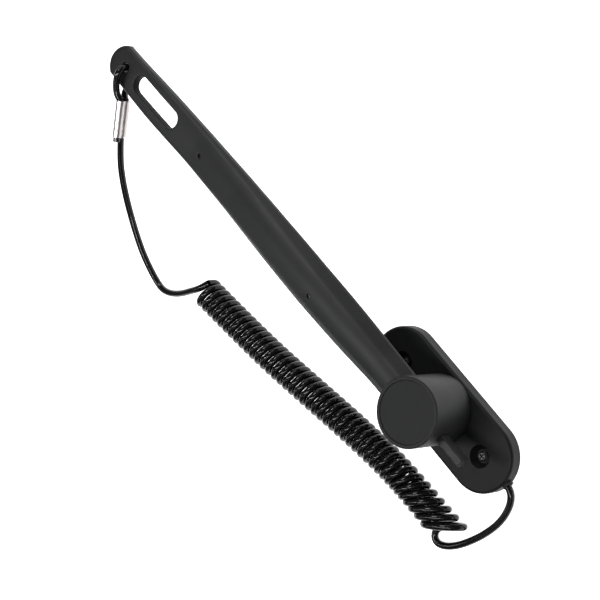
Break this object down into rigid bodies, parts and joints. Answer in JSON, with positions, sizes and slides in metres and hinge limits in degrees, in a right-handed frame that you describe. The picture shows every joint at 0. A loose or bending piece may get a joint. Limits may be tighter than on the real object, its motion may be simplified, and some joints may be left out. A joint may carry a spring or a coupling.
{
  "type": "tethered swivel arm on a wall plate",
  "caption": "Long slotted arm held in a round swivel drum on an oblong screw-on wall plate, tethered to the plate by a coiled security cord.",
  "frame": {"origin": "centre of the wall plate's back face, on the pivot axis", "axes": "+Z out of the wall along the drum's axis, +Y along the arm towards its eye, +X to the right seen from the front"},
  "size_m": [0.1477, 0.4515, 0.0782],
  "materials": {
    "moulding": "fine satin grain",
    "cord_jacket": "glossy",
    "loop_jacket": "glossy",
    "crimp": "pressed, slightly scuffed",
    "steel": "plain zinc",
    "black_steel": "black oxide",
    "grommet_rubber": "matt"
  },
  "bodies": {
    "plate": {"wall_plate": "moulding", "backing_plate": "steel", "mounting_screws": "black_steel", "pivot_screw": "steel", "pivot_washer": "steel", "pivot_nut": "steel", "cord_grommet": "grommet_rubber", "cord_stop": "steel", "lower_lead": "cord_jacket", "coil": "cord_jacket", "upper_lead": "cord_jacket"},
    "drum": {"drum_housing": "moulding", "socket_block": "moulding", "drum_cap": "moulding", "leaf_spring": "steel"},
    "arm": {"arm_shell": "moulding", "arm_back_cover": "moulding", "arm_pins": "black_steel", "tongue": "black_steel", "tongue_rivet": "steel", "tether_loop": "loop_jacket", "tether_tail": "loop_jacket", "ferrule": "crimp"}
  },
  "joints": [
    {"name": "drum_swivel", "type": "hinge", "parent": "plate", "child": "drum", "pos_m": [0, 0, 0.012], "axis": [0, 0, 1], "range_deg": [-90, 0]},
    {"name": "arm_draw_out", "type": "slide", "parent": "drum", "child": "arm", "axis": [0, 1, 0], "range_m": [0, 0.08]}
  ]
}
